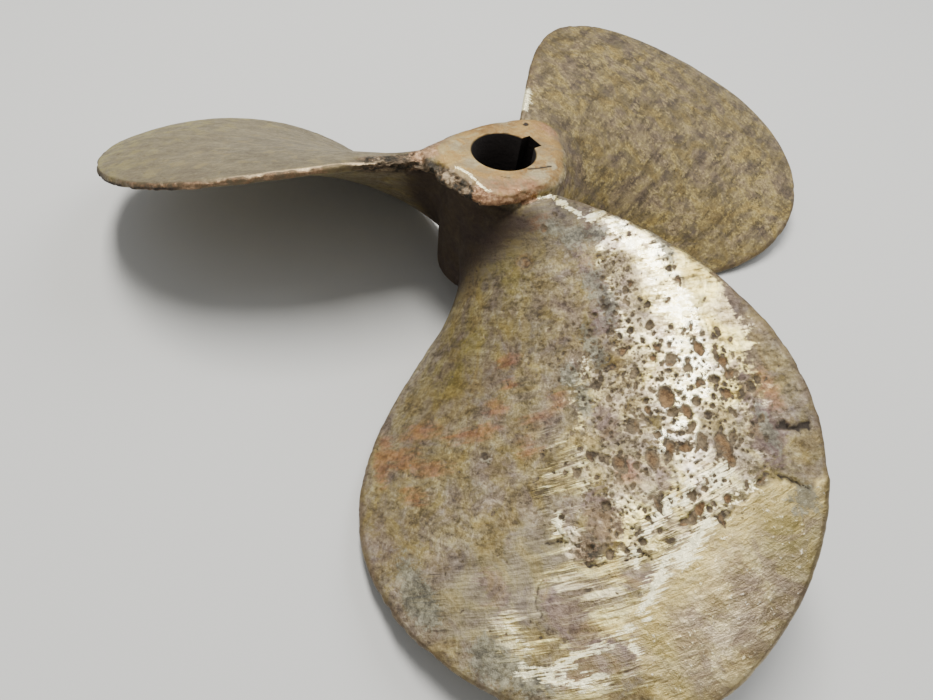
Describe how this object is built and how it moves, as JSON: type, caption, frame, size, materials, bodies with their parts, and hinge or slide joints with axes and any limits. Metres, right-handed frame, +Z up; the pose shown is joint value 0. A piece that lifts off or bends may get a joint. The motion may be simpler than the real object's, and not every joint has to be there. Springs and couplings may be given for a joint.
{
  "type": "ship propeller",
  "caption": "Worn bronze ship propeller cast in one piece: wide right-handed blades on a hub with a tapered, keyed bore, one blade worn short.",
  "frame": {"origin": "centre of the bottom of the bounding box, on the floor that the blades' low edges rest on", "axes": "+Z up along the shaft axis, towards the forward end of the hub; -Y along one full-length blade; the shaft axis stands at x = -8.9 mm, y = +41.3 mm"},
  "size_m": [0.429, 0.4162, 0.0883],
  "materials": {
    "worn_bronze": "worn"
  },
  "bodies": {
    "root": {"propeller": "worn_bronze"}
  },
  "joints": []
}
